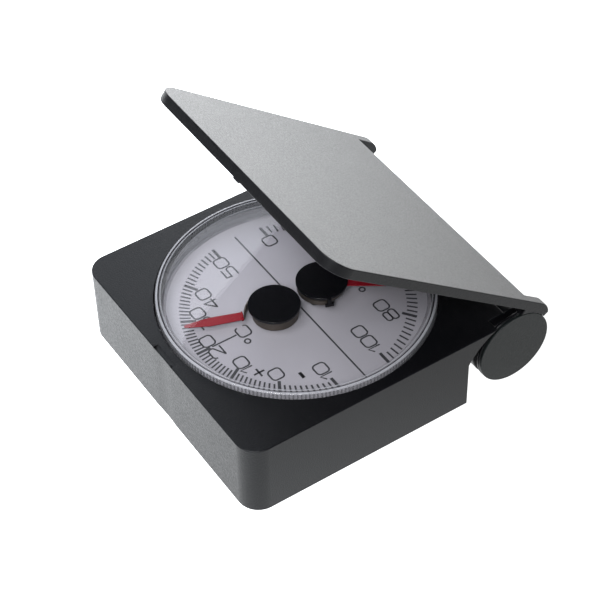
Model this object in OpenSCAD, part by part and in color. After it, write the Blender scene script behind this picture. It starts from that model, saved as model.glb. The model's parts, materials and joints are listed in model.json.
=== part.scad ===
// Folding pocket thermo-hygrometer: a black case with a flip lid on a wide barrel hinge and one
// round silver dial, temperature in its upper half and humidity in its lower half.
// Origin: under the centre of the dial, on the flat back that the case lies on.
// +X is the dial's right, +Y its top (away from the hinge), +Z out of the dial.

/* [Dial and lens] */
// Radius of the clear lens
lens_r = 27.3; // [24:0.1:33]
// Air gap between the lens and the bore in the case
lens_gap = 0.2; // [0.1:0.05:0.5]
// Height of the lens above the top of the case
lens_rise = 0.9; // [0.3:0.1:1.2]
// Thickness of the lens window
lens_t = 0.7; // [0.5:0.1:1]
// Depth of the dial below the top of the case
dial_depth = 3.4; // [3:0.1:4.5]
// Thickness of the dial plate
dial_t = 0.4; // [0.3:0.1:0.8]
// Wall of the instrument cup
cup_wall = 1.1; // [0.8:0.1:1.5]
// Floor of the instrument cup
cup_floor = 0.8; // [0.6:0.1:1.2]
// Height of the ledge that carries the dial above the cup floor
dial_ledge = 1; // [0.8:0.1:1.5]
// Half the distance between the two pivots
pivot_y = 5.5; // [5.5:0.1:8]
// How far the pivots' midpoint lies below the centre of the dial
pivot_drop = 0.4; // [0:0.1:1]

/* [Case] */
// Height of the case
case_h = 16.8; // [14:0.1:22]
// Plastic left between the bore and each side
side_rim = 2.5; // [2:0.1:8]
// Plastic left between the bore and the front face
front_rim = 2.65; // [2.2:0.05:8]
// Distance from the bore's edge back to the hinge axis
hinge_set_back = 3.1; // [2:0.1:6]
// Wall thickness of the case
wall = 1.6; // [1.2:0.1:2.2]
// Radius of the two upright front corners
corner_r = 4.4; // [3:0.1:8]
// Thickness of the shelf under the instrument
shelf_t = 1.6; // [1.2:0.1:2.5]
// Radius of the opening in that shelf
shelf_hole_r = 15; // [12:0.5:16]
// Half width of the scoop in the front face
scoop_half_w = 3.15; // [2:0.05:6]
// Depth of the scoop
scoop_depth = 0.12; // [0.08:0.02:0.3]

/* [Back cover] */
// Thickness of the back cover
cover_t = 2; // [1.8:0.1:2.6]
// Gap round the back cover
cover_gap = 0.15; // [0.1:0.05:0.4]
// Radius of the screw posts
boss_r = 3; // [2.6:0.1:4]
// Radius of the cover screws' shanks
screw_r = 0.9; // [0.7:0.05:1.2]
// Length of the cover screws' shanks
screw_l = 6; // [4:0.5:7]
// Number of air slots
slots = 6; // [2:2:8]

/* [Lid] */
// How far the lid stands open, in degrees
lid_open = 37.6; // [0:0.1:270]
// Thickness of the lid
lid_t = 2.1; // [1.6:0.1:3]
// Gap between the closed lid and the case
lid_gap = 0.2; // [0.15:0.05:0.5]
// How far the lid's sides and free edge stand inside the case outline
lid_inset = 0.4; // [0.2:0.05:1]
// Radius of the lid's free corners
lid_corner_r = 5; // [3:0.5:8]
// Distance from the hinge axis to the rear edge of the lid's panel
lid_root = 3.9; // [3:0.1:5]
// Depth of the round recess that clears the lens
recess_depth = 1; // [0.8:0.05:1.2]
// Gap between the rear wall of the case and the lid folded down behind it
stow_gap = 0.85; // [0.5:0.05:2]

/* [Hinge] */
// Radius of the hinge barrel and of its end discs
hinge_r = 8.1; // [7:0.1:10]
// Width of the notch in the case that holds each end of the lid
notch_w = 2.9; // [2.6:0.1:4]
// Thickness of each end disc's inner half, moulded with the lid
web_t = 0.7; // [0.5:0.1:1]
// Thickness of each end disc's outer half, a separate cap
cap_t = 0.7; // [0.5:0.1:1]
// Radius of the axle on each cap
axle_r = 2.4; // [2:0.1:3]
// Running gap between an axle and its bush
axle_gap = 0.04; // [0.02:0.01:0.1]
// Length of each bush
bush_l = 8; // [5:0.5:8]
// Wall of each bush
bush_wall = 1; // [0.8:0.1:1.2]

/* [Movements] */
// Temperature shown, in degrees Celsius
temperature = 26.7; // [-10:0.1:50]
// Humidity shown, in per cent
humidity = 69; // [0:1:100]
// Radius of the round cap over each coil
hub_r = 5.1; // [4.6:0.1:5.2]
// Thickness of those caps
hub_t = 0.6; // [0.4:0.1:0.8]
// Radius of each coil's outer turn
coil_r = 5; // [4:0.1:5.2]
// How far the thermometer coil's outer end swings out to its pointer
coil_swing = 0.9; // [0:0.1:1]
// Radius of each coil's inner turn
coil_inner_r = 1.2; // [1.1:0.1:1.6]
// Turns in each coil
coil_turns = 5; // [3:1:6]
// Thickness of the coil strip
strip_t = 0.25; // [0.15:0.05:0.35]
// Height of the thermometer's strip
thermo_strip_h = 2.1; // [1.5:0.1:2.2]
// Height of the hygrometer's strip
hygro_strip_h = 1; // [0.6:0.1:1]
// Radius of the posts that hold the coils
post_r = 0.9; // [0.8:0.05:1]
// Distance from a pivot to its pointer's tip
pointer_l = 17.8; // [14:0.1:18.5]
// Greatest width of each pointer
pointer_w = 2.2; // [1:0.1:2.4]

/* [Hidden] */
$fn = 72;
tiny = 0.01;

// Case outline
bore_r = lens_r + lens_gap;
half_w = bore_r + side_rim;
front_y = bore_r + front_rim;
hinge_y = -(bore_r + hinge_set_back);
hinge_z = case_h - hinge_r;
lid_under = hinge_r + lid_gap;
lid_top = lid_under + lid_t;
rear_y = hinge_y + lid_top + stow_gap;
barrel_half = half_w - notch_w;
neck_end = hinge_y + 1.2;
notch_arc_r = lid_top + stow_gap + 1.2;
notch_arc_drop = 3.4;
scoop_r = (scoop_half_w^2 + scoop_depth^2) / (2 * scoop_depth);

// Instrument levels
dial_z = case_h - dial_depth;
cup_z = dial_z - dial_t - dial_ledge - cup_floor;
cup_r = lens_r - 0.1;
cup_inner_r = cup_r - cup_wall;
cup_top = dial_z + 1.2;
lens_top = case_h + lens_rise;
lens_inner_r = cup_inner_r - 0.7;
shelf_z = cup_z - shelf_t;

// Back cover and its screws
boss_x = half_w - wall - boss_r + 0.4;
boss_front_y = front_y - wall - boss_r + 0.4;
boss_rear_y = rear_y + wall + boss_r - 0.4;
head_r = screw_r * 2.1;
head_h = 1;
sink_depth = 1.2;
slot_w = 2;
slot_l = 12;
slot_pitch = 5;
cup_screw_r = 0.75;
cup_screw_at = [[cup_inner_r - 4.6, 20], [cup_inner_r - 4.6, 90], [cup_inner_r - 4.6, 160]];

// Lid and hinge
lid_half = half_w - lid_inset;
lid_reach = front_y - lid_inset - hinge_y;
ear_w = web_t + cap_t + 0.8;
ear_front = lid_root + 0.15;
ear_round = 4;
ear_tip = 19.4;
catch_half_w = scoop_half_w * 0.3;
seat_half_w = scoop_half_w + 0.1;
seat_depth = 0.15;
catch_h = lid_gap + seat_depth - 0.1;
catch_l = 0.6;
disc_gap = 0.03;
washer_w = notch_w - lid_inset - web_t - cap_t;
axle_l = bush_l + washer_w + web_t - 0.6;

thermo_y = pivot_y - pivot_drop;
hygro_y = -pivot_y - pivot_drop;

// Dial scales: degrees of turn per unit, anticlockwise from +X
thermo_angle = 180 - (temperature + 10) * 3;
hygro_angle = -humidity * 1.8;
thermo_strip_z = dial_z + 0.3;
hygro_strip_z = dial_z + 1.5;
thermo_hub_z = dial_z + 2.6;
hygro_hub_z = dial_z + 2.8;
blade_t = 0.25;
spigot_r = 0.6;
spigot_l = 0.4;
hook_r = coil_r + strip_t / 2 + 0.15;
clip_r = hook_r + coil_swing;
hook_turn = -74;

// ---- shared shapes ----

// A block with its two front upright corners rounded
module rounded_front(half, rear, front, z0, z1, r) {
    translate([-half, rear, z0]) cube([2 * half, front - r - rear, z1 - z0]);
    translate([-half + r, rear, z0]) cube([2 * (half - r), front - rear, z1 - z0]);
    for (side = [-1, 1])
        translate([side * (half - r), front - r, z0]) cylinder(r = r, h = z1 - z0);
}

// Children drawn in the lid's own frame: y runs from the hinge axis to the free edge, z is up
// from the axis, and the whole is turned to the angle at which the lid stands
module on_lid() {
    translate([0, hinge_y, hinge_z]) rotate([lid_open, 0, 0]) children();
}

// A flat (y, z) shape given thickness w along +X from x0
module along_x(x0, w) {
    translate([x0, 0, 0]) rotate([90, 0, 90]) linear_extrude(w) children();
}

// A round bar along X from x0, centred on the hinge axis
module hinge_bar(r, x0, w) {
    translate([x0, hinge_y, hinge_z]) rotate([0, 90, 0]) cylinder(r = r, h = w);
}

module at_screws() {
    for (x = [-boss_x, boss_x], y = [boss_rear_y, boss_front_y]) translate([x, y, 0]) children();
}

module at_cup_screws() {
    for (p = cup_screw_at) translate([p[0] * cos(p[1]), p[0] * sin(p[1]), 0]) children();
}

// A screw with its head downwards at z = 0 and a cross in the head
module screw(r, head, head_height, length) {
    difference() {
        union() {
            cylinder(r = head, h = head_height);
            cylinder(r = r, h = head_height + length);
        }
        for (turn = [0, 90]) rotate(turn)
            translate([-head * 0.6, -r * 0.2, -tiny]) cube([head * 1.2, r * 0.4, head_height * 0.5]);
    }
}

// ---- case ----

// Neck from the rear wall back to the barrel, with a notch at each end for the lid's ears and discs
module neck() {
    difference() {
        translate([-half_w, neck_end, shelf_z])
            cube([2 * half_w, rear_y + wall - neck_end, case_h - shelf_z]);
        for (side = [-1, 1]) mirror([side < 0 ? 1 : 0, 0, 0])
            translate([barrel_half, hinge_y, hinge_z - notch_arc_drop]) rotate([0, 90, 0])
                cylinder(r = notch_arc_r, h = notch_w + 1, $fn = 120);
    }
}

module case_body() {
    color([0.07, 0.07, 0.08]) difference() {
        union() {
            difference() {
                rounded_front(half_w, rear_y, front_y, 0, case_h, corner_r);
                rounded_front(half_w - wall, rear_y + wall, front_y - wall, -1, shelf_z,
                              corner_r - wall);
            }
            neck();
            hinge_bar(hinge_r, -barrel_half, 2 * barrel_half);
            at_screws() translate([0, 0, cover_t]) cylinder(r = boss_r, h = shelf_z - cover_t + 0.5);
        }
        // bore for the instrument, and the opening in the shelf under it
        translate([0, 0, cup_z]) cylinder(r = bore_r, h = case_h, $fn = 120);
        translate([0, 0, -1]) cylinder(r = shelf_hole_r, h = case_h);
        // bush seats
        hinge_bar(axle_r + axle_gap + bush_wall, barrel_half - bush_l, bush_l + 1);
        hinge_bar(axle_r + axle_gap + bush_wall, -barrel_half - 1, bush_l + 1);
        // screw holes
        at_screws() translate([0, 0, cover_t - 1]) cylinder(r = screw_r, h = screw_l + 1.5, $fn = 32);
        at_cup_screws() cylinder(r = cup_screw_r + 0.2, h = case_h, $fn = 32);
        // scoop down the front face, and the shallow seat for the lid's catch
        translate([0, front_y - scoop_depth + scoop_r, -1]) cylinder(r = scoop_r, h = case_h + 2);
        translate([-seat_half_w, front_y - lid_inset - catch_l - 0.1, case_h - seat_depth])
            cube([2 * seat_half_w, 3, 2]);
    }
}

module back_cover() {
    gap_wall = wall + cover_gap;
    color([0.08, 0.08, 0.09]) difference() {
        rounded_front(half_w - gap_wall, rear_y + gap_wall, front_y - gap_wall, 0, cover_t,
                      corner_r - gap_wall);
        at_screws() {
            translate([0, 0, -1]) cylinder(r = head_r + 0.2, h = 1 + sink_depth);
            cylinder(r = screw_r + 0.1, h = cover_t + 1, $fn = 32);
        }
        for (i = [0 : slots - 1])
            translate([(i - (slots - 1) / 2) * slot_pitch - slot_w / 2, -slot_l / 2, -1])
                cube([slot_w, slot_l, cover_t + 2]);
    }
}

module cover_screws() {
    color([0.6, 0.6, 0.62]) at_screws() translate([0, 0, sink_depth - head_h])
        screw(screw_r, head_r, head_h, screw_l);
}

// ---- instrument ----

module instrument_cup() {
    color([0.2, 0.2, 0.22]) difference() {
        union() {
            translate([0, 0, cup_z]) rotate_extrude($fn = 120) polygon([
                [0, 0], [cup_r, 0], [cup_r, cup_top - cup_z], [cup_inner_r, cup_top - cup_z],
                [cup_inner_r, cup_floor + dial_ledge], [cup_inner_r - 1.5, cup_floor + dial_ledge],
                [cup_inner_r - 1.5, cup_floor], [0, cup_floor]]);
            at_cup_screws() translate([0, 0, cup_z]) cylinder(r = 2, h = cup_floor + dial_ledge);
        }
        for (y = [thermo_y, hygro_y]) translate([0, y, cup_z - 1]) cylinder(r = post_r, h = 3);
        at_cup_screws() translate([0, 0, cup_z - 1])
            cylinder(r = cup_screw_r, h = cup_floor + dial_ledge + 0.8, $fn = 32);
        // air holes, in a ring inside the opening of the shelf
        for (turn = [0 : 30 : 330]) rotate(turn) translate([shelf_hole_r - 2.5, 0, cup_z - 1])
            cylinder(r = 1.2, h = 3, $fn = 32);
    }
}

module cup_screws() {
    head = 1;
    color([0.6, 0.6, 0.62]) at_cup_screws() translate([0, 0, shelf_z - head])
        screw(cup_screw_r, 1.6, head, shelf_t + cup_floor + dial_ledge - 0.4);
}

module dial_plate() {
    color([0.78, 0.78, 0.8]) translate([0, 0, dial_z - dial_t]) difference() {
        cylinder(r = cup_inner_r - 0.05, h = dial_t, $fn = 120);
        for (y = [thermo_y, hygro_y]) translate([0, y, -1]) {
            cylinder(r = post_r + 0.1, h = 3);
            // air holes under the coil
            for (turn = [0 : 60 : 300]) rotate(turn) translate([3.2, 0, 0]) cylinder(r = 0.8, h = 3);
        }
    }
}

module lens() {
    color([0.85, 0.9, 0.92, 0.35]) rotate_extrude($fn = 120) polygon([
        [0, lens_top - lens_t], [lens_inner_r, lens_top - lens_t], [lens_inner_r, dial_z],
        [cup_inner_r - 0.05, dial_z], [cup_inner_r - 0.05, cup_top], [lens_r, cup_top],
        [lens_r, lens_top - 0.4], [lens_r - 0.4, lens_top], [0, lens_top]]);
}

// ---- movements, each drawn about its own pivot ----

// A flat strip wound from the post out to coil_r, ending at the angle last. Over its last fifth of
// a turn it swings out by swing.
module coil(last, z, height, swing) {
    steps = 30 * coil_turns;
    function at(i, off) = let (
        t = i / steps,
        turns_left = coil_turns * (1 - t),
        r = coil_inner_r + (coil_r - coil_inner_r) * t + swing * max(0, 1 - 5 * turns_left)^2 + off,
        a = last - 360 * turns_left) [r * cos(a), r * sin(a)];
    color([0.62, 0.58, 0.52]) translate([0, 0, z]) {
        linear_extrude(height) polygon(concat(
            [for (i = [0 : steps]) at(i, strip_t / 2)],
            [for (i = [steps : -1 : 0]) at(i, -strip_t / 2)]));
        // foot that joins the inner turn to the post
        rotate(last) translate([post_r - 0.02, -strip_t / 2, 0])
            cube([coil_inner_r - post_r, strip_t, height]);
    }
}

// Brass post with a slotted foot under the cup; top is where its shoulder ends
module post(top) {
    foot_h = 0.7;
    foot_r = 1.8;
    color([0.78, 0.62, 0.3]) difference() {
        union() {
            translate([0, 0, cup_z - foot_h]) cylinder(r = foot_r, h = foot_h);
            translate([0, 0, cup_z]) cylinder(r = post_r, h = top - cup_z);
            translate([0, 0, top]) cylinder(r = spigot_r, h = spigot_l);
        }
        translate([-foot_r - 1, -0.25, cup_z - foot_h - tiny]) cube([2 * foot_r + 2, 0.5, 0.4]);
    }
}

// A thin blade along +X from r0, as wide as pointer_w until it tapers to its tip
module blade(r0) {
    taper = 5;
    root = pointer_w / 2 - 0.1;
    widest = pointer_w / 2;
    linear_extrude(blade_t) polygon([
        [r0, -root], [pointer_l - taper, -widest], [pointer_l - 0.4, -0.35], [pointer_l, 0],
        [pointer_l - 0.4, 0.35], [pointer_l - taper, widest], [r0, root]]);
}

module thermometer_post() { translate([0, thermo_y, 0]) post(thermo_hub_z); }

module hygrometer_post() { translate([0, hygro_y, 0]) post(hygro_hub_z); }

module thermometer_coil() {
    translate([0, thermo_y, 0]) coil(thermo_angle, thermo_strip_z, thermo_strip_h, coil_swing);
}

module hygrometer_coil() {
    translate([0, hygro_y, 0]) coil(hygro_angle + hook_turn, hygro_strip_z, hygro_strip_h, 0);
}

module thermometer_hub() {
    color([0.03, 0.03, 0.03]) translate([0, thermo_y, thermo_hub_z]) difference() {
        cylinder(r = hub_r, h = hub_t);
        translate([0, 0, -tiny]) cylinder(r = spigot_r, h = spigot_l + tiny);
    }
}

// The blade stands on a clip that holds the coil's outer end
module thermometer_pointer() {
    clip_t = 0.35;
    clip_w = pointer_w * 0.6;
    color([0.7, 0.06, 0.1]) translate([0, thermo_y, 0]) rotate(thermo_angle) {
        translate([clip_r, -clip_w / 2, thermo_strip_z + 0.3]) cube([clip_t, clip_w, 1.4]);
        translate([0, 0, thermo_strip_z + 0.9]) blade(clip_r);
    }
}

// This hub turns on its post; a hook under its rim holds the coil's outer end
module hygrometer_hub() {
    hook_t = 0.4;
    hook_w = 1.7;
    arm_w = 0.8;
    hook_l = hygro_hub_z - hygro_strip_z + 0.1;
    color([0.03, 0.03, 0.03]) translate([0, hygro_y, hygro_hub_z]) difference() {
        union() {
            cylinder(r = hub_r, h = hub_t);
            rotate(hygro_angle + hook_turn) {
                translate([hook_r, -hook_w / 2, -hook_l]) cube([hook_t, hook_w, hook_l / 2]);
                translate([hook_r, -arm_w / 2, -hook_l]) cube([hook_t, arm_w, hook_l + hub_t]);
                translate([hub_r - 1, -arm_w / 2, 0]) cube([hook_r + hook_t - hub_r + 1, arm_w, hub_t]);
            }
        }
        translate([0, 0, -1]) cylinder(r = spigot_r + axle_gap, h = 1 + spigot_l + 0.05);
    }
}

module hygrometer_pointer() {
    ring_r = 1.9;
    color([0.7, 0.06, 0.1]) translate([0, hygro_y, hygro_hub_z - blade_t]) rotate(hygro_angle)
        difference() {
            union() {
                cylinder(r = ring_r, h = blade_t);
                blade(ring_r - 0.5);
            }
            translate([0, 0, -1]) cylinder(r = post_r + 0.2, h = 2);
        }
}

// ---- lid and hinge ----

// Outline of one ear: flat on top, rounded down behind the axis, ending just past the disc's top
module ear_outline() {
    intersection() {
        union() {
            square([ear_front, lid_top]);
            translate([0, lid_top - ear_round]) circle(r = ear_round);
            circle(r = hinge_r);
        }
        polygon([[0, 0], [3 * ear_front, 0], [3 * ear_front, 2 * lid_top],
                 [-2 * lid_top * tan(ear_tip), 2 * lid_top]]);
    }
}

module lid() {
    in_ear = lid_half - ear_w;
    in_web = lid_half - cap_t - web_t;
    color([0.10, 0.10, 0.11]) on_lid() {
        difference() {
            union() {
                // panel with its two free corners rounded
                translate([-lid_half, lid_root, lid_under])
                    cube([2 * lid_half, lid_reach - lid_root - lid_corner_r, lid_t]);
                translate([-lid_half + lid_corner_r, lid_root, lid_under])
                    cube([2 * (lid_half - lid_corner_r), lid_reach - lid_root, lid_t]);
                for (side = [-1, 1])
                    translate([side * (lid_half - lid_corner_r), lid_reach - lid_corner_r, lid_under])
                        cylinder(r = lid_corner_r, h = lid_t);
                // catch under the free edge
                translate([-catch_half_w, lid_reach - catch_l, lid_under - catch_h])
                    cube([2 * catch_half_w, catch_l, catch_h + 0.1]);
                // ears and the inner halves of the end discs
                for (side = [0, 1]) mirror([side, 0, 0]) {
                    along_x(in_ear, ear_w) difference() {
                        ear_outline();
                        circle(r = hinge_r);
                    }
                    along_x(in_web, web_t) {
                        ear_outline();
                        circle(r = hinge_r);
                    }
                }
            }
            // round recess over the lens
            translate([0, -hinge_y, lid_under - 1]) cylinder(r = bore_r + 0.3, h = 1 + recess_depth,
                                                             $fn = 120);
            // axle holes
            translate([-lid_half - 1, 0, 0]) rotate([0, 90, 0]) cylinder(r = axle_r, h = 2 * lid_half + 2);
        }
    }
}

// The outer half of an end disc, with the axle that the lid turns on
module hinge_cap() {
    color([0.09, 0.09, 0.10]) {
        hinge_bar(hinge_r - disc_gap, lid_half - cap_t, cap_t);
        hinge_bar(axle_r, lid_half - cap_t - axle_l, axle_l);
    }
}

module hinge_bush() {
    color([0.85, 0.84, 0.8]) difference() {
        hinge_bar(axle_r + axle_gap + bush_wall, barrel_half - bush_l, bush_l);
        hinge_bar(axle_r + axle_gap, barrel_half - bush_l - 1, bush_l + 2);
    }
}

// A dished steel washer that keeps the lid where it is put
module spring_washer() {
    free = washer_w - 0.05;
    color([0.55, 0.55, 0.57]) translate([barrel_half, hinge_y, hinge_z]) rotate([0, 90, 0])
        rotate_extrude() polygon([
            [axle_r + 0.3, free - 0.35], [axle_r + 0.3, free], [axle_r + 1, free],
            [hinge_r - 2.2, 0.35], [hinge_r - 2.2, 0], [hinge_r - 2.9, 0]]);
}

module hinge_cap_right() { hinge_cap(); }
module hinge_cap_left() { mirror([1, 0, 0]) hinge_cap(); }
module hinge_bush_right() { hinge_bush(); }
module hinge_bush_left() { mirror([1, 0, 0]) hinge_bush(); }
module spring_washer_right() { spring_washer(); }
module spring_washer_left() { mirror([1, 0, 0]) spring_washer(); }

case_body();
back_cover();
cover_screws();
instrument_cup();
cup_screws();
dial_plate();
lens();
thermometer_post();
thermometer_coil();
thermometer_hub();
thermometer_pointer();
hygrometer_post();
hygrometer_coil();
hygrometer_hub();
hygrometer_pointer();
lid();
hinge_cap_left();
hinge_cap_right();
hinge_bush_left();
hinge_bush_right();
spring_washer_left();
spring_washer_right();
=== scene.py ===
"""Looks of a folding pocket thermo-hygrometer: shells, clear dish, printed dial, movements, stage."""
import json
import math

import bmesh
import bpy
from bpy.props import FloatProperty, FloatVectorProperty, IntProperty, PointerProperty
from bpy.types import Operator, Panel, PropertyGroup
from mathutils import Matrix, Vector


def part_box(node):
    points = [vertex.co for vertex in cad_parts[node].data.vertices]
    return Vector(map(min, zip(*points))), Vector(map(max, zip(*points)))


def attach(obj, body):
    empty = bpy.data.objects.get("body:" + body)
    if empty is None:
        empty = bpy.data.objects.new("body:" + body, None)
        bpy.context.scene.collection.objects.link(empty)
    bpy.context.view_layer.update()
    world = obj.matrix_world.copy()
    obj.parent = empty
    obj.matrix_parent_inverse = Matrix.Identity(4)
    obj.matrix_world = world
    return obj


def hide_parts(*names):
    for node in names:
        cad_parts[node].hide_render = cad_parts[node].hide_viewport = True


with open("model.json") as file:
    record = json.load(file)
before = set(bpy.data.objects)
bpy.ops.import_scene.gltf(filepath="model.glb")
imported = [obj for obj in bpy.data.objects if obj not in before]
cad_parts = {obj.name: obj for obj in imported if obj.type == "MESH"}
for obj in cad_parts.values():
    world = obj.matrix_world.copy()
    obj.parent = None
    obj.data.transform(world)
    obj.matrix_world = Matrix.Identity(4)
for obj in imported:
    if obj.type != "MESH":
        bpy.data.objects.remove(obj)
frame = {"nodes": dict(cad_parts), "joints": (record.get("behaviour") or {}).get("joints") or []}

bl_info = {
    "name": "Pocket Thermo-Hygrometer",
    "version": (1, 0, 0),
    "blender": (4, 5, 0),
    "location": "3D View > Sidebar > Thermo-Hygrometer",
    "description": "Builds the shells, dish, dial, movements and stage of a pocket thermo-hygrometer",
    "category": "Add Mesh",
}

MM = 0.001
WELD = 2e-6
# Faces that meet at less than FLAT_ANGLE are joined, and edges steeper than CORNER_ANGLE are rounded
FLAT_ANGLE = math.radians(0.2)
CORNER_ANGLE = math.radians(40)
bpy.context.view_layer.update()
JOINTS = {joint["name"]: joint for joint in frame["joints"]}


# ---- places taken from the frame ----

def size_of(node):
    """Width, depth and height of a CAD node."""
    low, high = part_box(node)
    return high - low


def pivot_of(joint):
    return Vector(JOINTS[joint]["pos_m"])


DISH_RADIUS = size_of("lens").x / 2
DISH_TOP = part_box("lens")[1].z
DIAL_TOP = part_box("dial_plate")[1].z
DIAL_RADIUS = size_of("dial_plate").x / 2
CUP_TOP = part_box("instrument_cup")[1].z
THERMO_PIVOT = pivot_of("temperature")
HYGRO_PIVOT = pivot_of("humidity")
# The scales run from 180 degrees, and from 0 degrees, at the low end of each joint's range
THERMO_REST = math.radians(180 + JOINTS["temperature"]["range_deg"][0])
HYGRO_REST = math.radians(JOINTS["humidity"]["range_deg"][0])


# ---- node graphs ----

class Socket:
    """A node's output. Sums, products and the like on it add Math nodes."""

    def __init__(self, graph, output):
        self.graph = graph
        self.output = output

    def also(self, name):
        """Another output of the same node."""
        return Socket(self.graph, self.output.node.outputs[name])

    def math(self, operation, *values):
        return self.graph.math(operation, self, *values)

    def __add__(self, other):
        return self.math("ADD", other)

    def __sub__(self, other):
        return self.math("SUBTRACT", other)

    def __mul__(self, other):
        return self.math("MULTIPLY", other)

    def __truediv__(self, other):
        return self.math("DIVIDE", other)

    def __rsub__(self, other):
        return self.graph.math("SUBTRACT", other, self)

    def __rtruediv__(self, other):
        return self.graph.math("DIVIDE", other, self)

    __radd__ = __add__
    __rmul__ = __mul__


class Graph:
    """A node tree that is built by calls."""

    def __init__(self, tree):
        self.tree = tree

    def node(self, kind, settings=None, inputs=None, output=0):
        """Adds a node, first with its settings and then with its sockets' values or links."""
        node = self.tree.nodes.new(kind)
        for name, value in (settings or {}).items():
            setattr(node, name, value)
        for key, value in (inputs or {}).items():
            if isinstance(value, Socket):
                self.tree.links.new(value.output, node.inputs[key])
            else:
                node.inputs[key].default_value = value
        return Socket(self, node.outputs[output])

    def math(self, operation, *values):
        return self.node("ShaderNodeMath", {"operation": operation}, dict(enumerate(values)))

    def vector(self, x=0.0, y=0.0, z=0.0):
        return self.node("ShaderNodeCombineXYZ", None, {"X": x, "Y": y, "Z": z})

    def vector_math(self, operation, *values):
        return self.node("ShaderNodeVectorMath", {"operation": operation}, dict(enumerate(values)))


class Finish(Graph):
    """A material with one Principled shader. Its constant values are set on the shader itself."""

    def __init__(self, name, constants):
        self.material = bpy.data.materials.new(name)
        self.material.use_nodes = True
        super().__init__(self.material.node_tree)
        self.shader = self.tree.nodes["Principled BSDF"]
        for socket, value in constants.items():
            self.shader.inputs[socket].default_value = value

    def place(self, stretch=(1, 1, 1)):
        """Object coordinates, stretched along each axis."""
        coordinates = self.node("ShaderNodeTexCoord", output="Object")
        return self.node("ShaderNodeMapping", None, {"Vector": coordinates, "Scale": stretch})

    def noise(self, size, detail=2.0, stretch=(1, 1, 1)):
        """A cloudy value from about 0.3 to 0.7, whose lumps are size metres across."""
        return self.node("ShaderNodeTexNoise", None,
                         {"Vector": self.place(stretch), "Scale": 1 / size, "Detail": detail})

    def between(self, mask, dark, light):
        """A colour that goes from dark to light with mask."""
        return self.node("ShaderNodeMix", {"data_type": "RGBA"},
                         {"Factor": mask, 6: (*dark, 1), 7: (*light, 1)}, output=2)

    def feed(self, socket, value):
        self.tree.links.new(value.output, self.shader.inputs[socket])

    def relief(self, height, depth, strength=1.0):
        """Presses height into the surface, depth metres deep."""
        bump = self.node("ShaderNodeBump", None,
                         {"Height": height, "Distance": depth, "Strength": strength})
        self.feed("Normal", bump)


class Recipe(Graph):
    """A Geometry Nodes group with named inputs."""

    KINDS = {int: "NodeSocketInt", float: "NodeSocketFloat", Vector: "NodeSocketVector"}

    def __init__(self, name, defaults, takes_mesh=False):
        super().__init__(bpy.data.node_groups.new(name, "GeometryNodeTree"))
        interface = self.tree.interface
        interface.new_socket("Geometry", in_out="OUTPUT", socket_type="NodeSocketGeometry")
        if takes_mesh:
            interface.new_socket("Geometry", in_out="INPUT", socket_type="NodeSocketGeometry")
        for label, default in defaults.items():
            kind = self.KINDS[type(default)]
            interface.new_socket(label, in_out="INPUT", socket_type=kind).default_value = default
        self.entry = self.tree.nodes.new("NodeGroupInput")

    def __getitem__(self, label):
        return Socket(self, self.entry.outputs[label])

    def close(self, geometry, material):
        """Realizes the instances, sets the material and ends the group."""
        realized = self.node("GeometryNodeRealizeInstances", None, {"Geometry": geometry})
        finished = self.node("GeometryNodeSetMaterial", None,
                             {"Geometry": realized, "Material": material})
        end = self.tree.nodes.new("NodeGroupOutput")
        self.tree.links.new(finished.output, end.inputs[0])
        return self.tree


# ---- making pieces ----

def add_piece(name, mesh, body, slot, *nodes):
    """A new object that rides on body and stands for the CAD nodes named."""
    piece = bpy.data.objects.new(name, mesh)
    bpy.context.scene.collection.objects.link(piece)
    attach(piece, body)
    if nodes:
        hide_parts(*nodes)
    return piece


def grown_mesh(name, group, sizes, mesh=None):
    """Runs a Geometry Nodes group with these sizes and returns its result as a plain mesh."""
    seed = bpy.data.objects.new(name, mesh or bpy.data.meshes.new(name))
    bpy.context.scene.collection.objects.link(seed)
    modifier = seed.modifiers.new(group.name, "NODES")
    modifier.node_group = group
    for item in group.interface.items_tree:
        if item.in_out == "INPUT" and item.name in sizes:
            modifier[item.identifier] = sizes[item.name]
    graph = bpy.context.evaluated_depsgraph_get()
    result = bpy.data.meshes.new_from_object(seed.evaluated_get(graph), depsgraph=graph)
    seed.modifiers.remove(modifier)
    bpy.data.objects.remove(seed)
    if not result.polygons:
        raise RuntimeError(f"{group.name} made no faces for {name}")
    result.name = name
    return result


def settle_normals(mesh, sharp_angle):
    """Shades the mesh smooth, with edges steeper than sharp_angle kept crisp and flats kept flat."""
    holder = bpy.data.objects.new("shading", mesh)
    bpy.context.scene.collection.objects.link(holder)
    mesh.shade_smooth()
    mesh.set_sharp_from_angle(angle=sharp_angle)
    modifier = holder.modifiers.new("weighted", "WEIGHTED_NORMAL")
    modifier.keep_sharp = True
    modifier.weight = 90
    graph = bpy.context.evaluated_depsgraph_get()
    result = bpy.data.meshes.new_from_object(holder.evaluated_get(graph), depsgraph=graph)
    holder.modifiers.remove(modifier)
    bpy.data.objects.remove(holder)
    return result


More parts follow.
